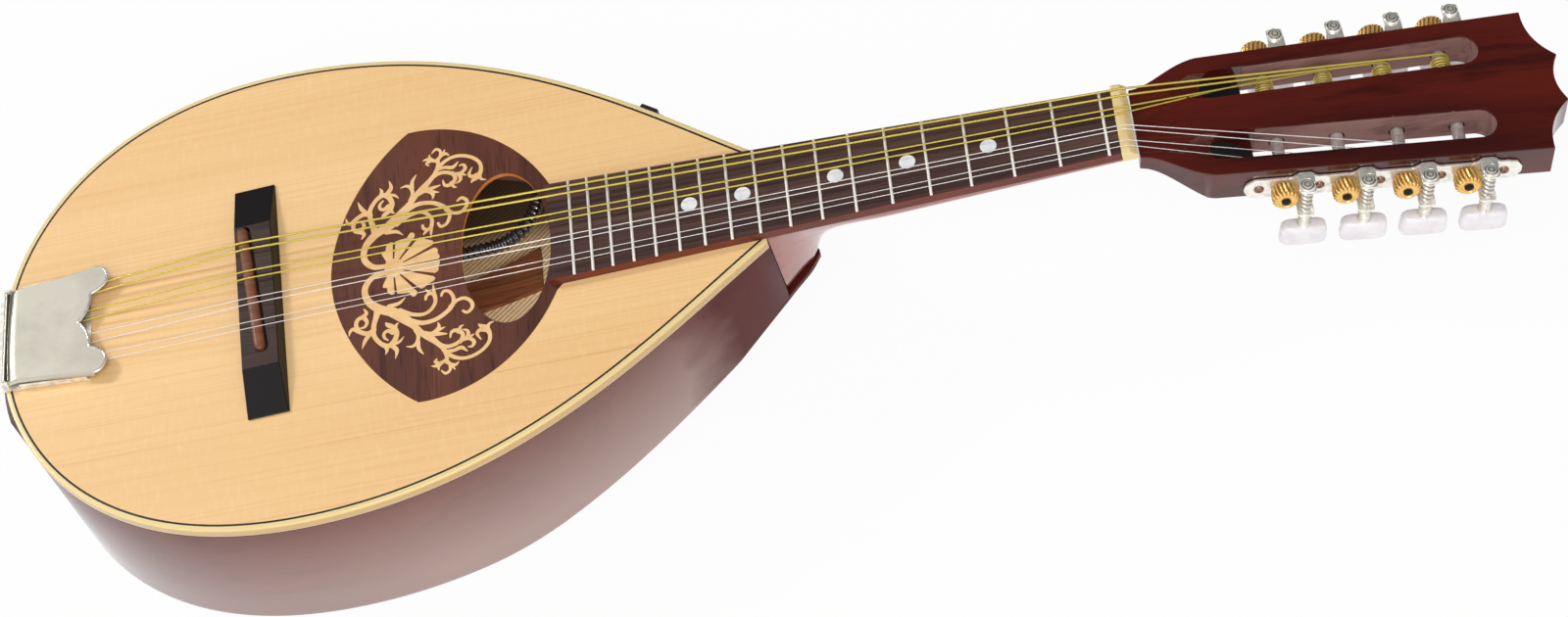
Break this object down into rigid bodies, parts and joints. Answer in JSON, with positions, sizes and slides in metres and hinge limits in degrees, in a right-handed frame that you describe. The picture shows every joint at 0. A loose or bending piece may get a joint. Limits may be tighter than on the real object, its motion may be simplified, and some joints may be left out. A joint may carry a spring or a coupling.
{
  "type": "portuguese mandolin",
  "caption": "Flat-backed mandolin with double courses, slotted headstock, worm-gear machine heads, hinged tailpiece cover, oval soundhole and inlaid rosette.",
  "frame": {"origin": "on the flat back, straight below the nominal bridge line, on the middle line", "axes": "+X from the tail to the head along the strings, +Y to the wound strings' side, +Z out of the soundboard"},
  "size_m": [0.6535, 0.2222, 0.0793],
  "materials": {
    "black_fibre": "matte",
    "black_plastic": "matte",
    "brass": "satin",
    "dark_mahogany": "gloss",
    "ebony": "satin",
    "fret_metal": "satin",
    "ivoroid": "gloss",
    "linden": "matte",
    "maple_inlay": "satin",
    "nickel_plate": "satin",
    "pearloid": "gloss",
    "plain_steel": "satin",
    "rosewood": "satin",
    "saddle_rosewood": "satin",
    "spruce": "satin",
    "steel": "satin",
    "wound_bronze": "satin"
  },
  "bodies": {
    "root": {"soundboard": "spruce", "rosette_panel": "rosewood", "rosette_inlay": "maple_inlay", "binding": "ivoroid", "purfling": "black_fibre", "rim": "dark_mahogany", "back_plate": "dark_mahogany", "top_lining": "linden", "back_lining": "linden", "neck_block": "linden", "tail_block": "linden", "top_brace_tail": "linden", "top_brace_middle": "linden", "top_brace_neck": "linden", "back_brace_tail": "linden", "back_brace_neck": "linden", "neck": "dark_mahogany", "headstock": "dark_mahogany", "fretboard": "rosewood", "zero_fret": "fret_metal", "nut": "ivoroid", "bridge_base": "ebony", "bridge_saddle": "saddle_rosewood", "tailpiece_base": "nickel_plate", "hinge_pin": "steel", "tail_guard": "dark_mahogany", "end_pin": "nickel_plate", "tuner_plate_bass": "nickel_plate", "tuner_plate_treble": "nickel_plate", "preamp_housing": "black_plastic", "pickup_cable": "black_plastic", "string_g_outer": "wound_bronze", "string_g_inner": "wound_bronze", "string_d_outer": "wound_bronze", "string_d_inner": "wound_bronze", "string_a_inner": "plain_steel", "string_a_outer": "plain_steel", "string_e_inner": "plain_steel", "string_e_outer": "plain_steel"},
    "cover": {"tailpiece_cover": "nickel_plate"},
    "battery_door": {"battery_door": "black_plastic"},
    "volume_knob": {"volume_knob": "black_plastic"},
    "bass_knob": {"bass_knob": "black_plastic"},
    "treble_knob": {"treble_knob": "black_plastic"},
    "tuner_key_bass_1": {"tuner_key_bass_1": "pearloid"},
    "string_roller_bass_1": {"string_roller_bass_1": "brass"},
    "tuner_key_bass_2": {"tuner_key_bass_2": "pearloid"},
    "string_roller_bass_2": {"string_roller_bass_2": "brass"},
    "tuner_key_bass_3": {"tuner_key_bass_3": "pearloid"},
    "string_roller_bass_3": {"string_roller_bass_3": "brass"},
    "tuner_key_bass_4": {"tuner_key_bass_4": "pearloid"},
    "string_roller_bass_4": {"string_roller_bass_4": "brass"},
    "tuner_key_treble_1": {"tuner_key_treble_1": "pearloid"},
    "string_roller_treble_1": {"string_roller_treble_1": "brass"},
    "tuner_key_treble_2": {"tuner_key_treble_2": "pearloid"},
    "string_roller_treble_2": {"string_roller_treble_2": "brass"},
    "tuner_key_treble_3": {"tuner_key_treble_3": "pearloid"},
    "string_roller_treble_3": {"string_roller_treble_3": "brass"},
    "tuner_key_treble_4": {"tuner_key_treble_4": "pearloid"},
    "string_roller_treble_4": {"string_roller_treble_4": "brass"}
  },
  "joints": [
    {"name": "cover_hinge", "type": "hinge", "parent": "root", "child": "cover", "pos_m": [-0.1085, 0, 0.0745], "axis": [0, -1, 0], "range_deg": [0, 105]},
    {"name": "battery_door_hinge", "type": "hinge", "parent": "root", "child": "battery_door", "pos_m": [0.101, 0.09577, 0.0495], "axis": [0, 0, 1], "range_deg": [0, 100]},
    {"name": "volume_knob_turn", "type": "hinge", "parent": "root", "child": "volume_knob", "pos_m": [0.138, 0.07513, 0.0495], "axis": [0.5321, 0.8467, 0], "range_deg": [-140, 140]},
    {"name": "bass_knob_turn", "type": "hinge", "parent": "root", "child": "bass_knob", "pos_m": [0.149, 0.06812, 0.0495], "axis": [0.5646, 0.8253, 0], "range_deg": [-140, 140]},
    {"name": "treble_knob_turn", "type": "hinge", "parent": "root", "child": "treble_knob", "pos_m": [0.16, 0.0605, 0.0495], "axis": [0.5697, 0.8218, 0], "range_deg": [-140, 140]},
    {"name": "key_turn_bass_1", "type": "hinge", "parent": "root", "child": "tuner_key_bass_1", "pos_m": [0.41674, 0.03747, 0.05365], "axis": [0.1374, 0, 0.9905], "continuous": true},
    {"name": "roller_turn_bass_1", "type": "hinge", "parent": "root", "child": "string_roller_bass_1", "pos_m": [0.40908, 0.03017, 0.05471], "axis": [-0.037, 0.9993, 0.0051], "continuous": true},
    {"name": "key_turn_bass_2", "type": "hinge", "parent": "root", "child": "tuner_key_bass_2", "pos_m": [0.4402, 0.03835, 0.05039], "axis": [0.1374, 0, 0.9905], "continuous": true},
    {"name": "roller_turn_bass_2", "type": "hinge", "parent": "root", "child": "string_roller_bass_2", "pos_m": [0.43254, 0.03106, 0.05145], "axis": [-0.037, 0.9993, 0.0051], "continuous": true},
    {"name": "key_turn_bass_3", "type": "hinge", "parent": "root", "child": "tuner_key_bass_3", "pos_m": [0.46366, 0.03924, 0.04714], "axis": [0.1374, 0, 0.9905], "continuous": true},
    {"name": "roller_turn_bass_3", "type": "hinge", "parent": "root", "child": "string_roller_bass_3", "pos_m": [0.456, 0.03194, 0.0482], "axis": [-0.037, 0.9993, 0.0051], "continuous": true},
    {"name": "key_turn_bass_4", "type": "hinge", "parent": "root", "child": "tuner_key_bass_4", "pos_m": [0.48712, 0.04012, 0.04388], "axis": [0.1374, 0, 0.9905], "continuous": true},
    {"name": "roller_turn_bass_4", "type": "hinge", "parent": "root", "child": "string_roller_bass_4", "pos_m": [0.47946, 0.03283, 0.04494], "axis": [-0.037, 0.9993, 0.0051], "continuous": true},
    {"name": "key_turn_treble_1", "type": "hinge", "parent": "root", "child": "tuner_key_treble_1", "pos_m": [0.41674, -0.03747, 0.05365], "axis": [0.1374, 0, 0.9905], "continuous": true},
    {"name": "roller_turn_treble_1", "type": "hinge", "parent": "root", "child": "string_roller_treble_1", "pos_m": [0.40908, -0.03017, 0.05471], "axis": [-0.037, -0.9993, 0.0051], "continuous": true},
    {"name": "key_turn_treble_2", "type": "hinge", "parent": "root", "child": "tuner_key_treble_2", "pos_m": [0.4402, -0.03835, 0.05039], "axis": [0.1374, 0, 0.9905], "continuous": true},
    {"name": "roller_turn_treble_2", "type": "hinge", "parent": "root", "child": "string_roller_treble_2", "pos_m": [0.43254, -0.03106, 0.05145], "axis": [-0.037, -0.9993, 0.0051], "continuous": true},
    {"name": "key_turn_treble_3", "type": "hinge", "parent": "root", "child": "tuner_key_treble_3", "pos_m": [0.46366, -0.03924, 0.04714], "axis": [0.1374, 0, 0.9905], "continuous": true},
    {"name": "roller_turn_treble_3", "type": "hinge", "parent": "root", "child": "string_roller_treble_3", "pos_m": [0.456, -0.03194, 0.0482], "axis": [-0.037, -0.9993, 0.0051], "continuous": true},
    {"name": "key_turn_treble_4", "type": "hinge", "parent": "root", "child": "tuner_key_treble_4", "pos_m": [0.48712, -0.04012, 0.04388], "axis": [0.1374, 0, 0.9905], "continuous": true},
    {"name": "roller_turn_treble_4", "type": "hinge", "parent": "root", "child": "string_roller_treble_4", "pos_m": [0.47946, -0.03283, 0.04494], "axis": [-0.037, -0.9993, 0.0051], "continuous": true}
  ],
  "couplings": [
    {"joint": "key_turn_bass_1", "follows": "roller_turn_bass_1", "ratio": -14},
    {"joint": "key_turn_bass_2", "follows": "roller_turn_bass_2", "ratio": -14},
    {"joint": "key_turn_bass_3", "follows": "roller_turn_bass_3", "ratio": -14},
    {"joint": "key_turn_bass_4", "follows": "roller_turn_bass_4", "ratio": -14},
    {"joint": "key_turn_treble_1", "follows": "roller_turn_treble_1", "ratio": -14},
    {"joint": "key_turn_treble_2", "follows": "roller_turn_treble_2", "ratio": -14},
    {"joint": "key_turn_treble_3", "follows": "roller_turn_treble_3", "ratio": -14},
    {"joint": "key_turn_treble_4", "follows": "roller_turn_treble_4", "ratio": -14}
  ]
}
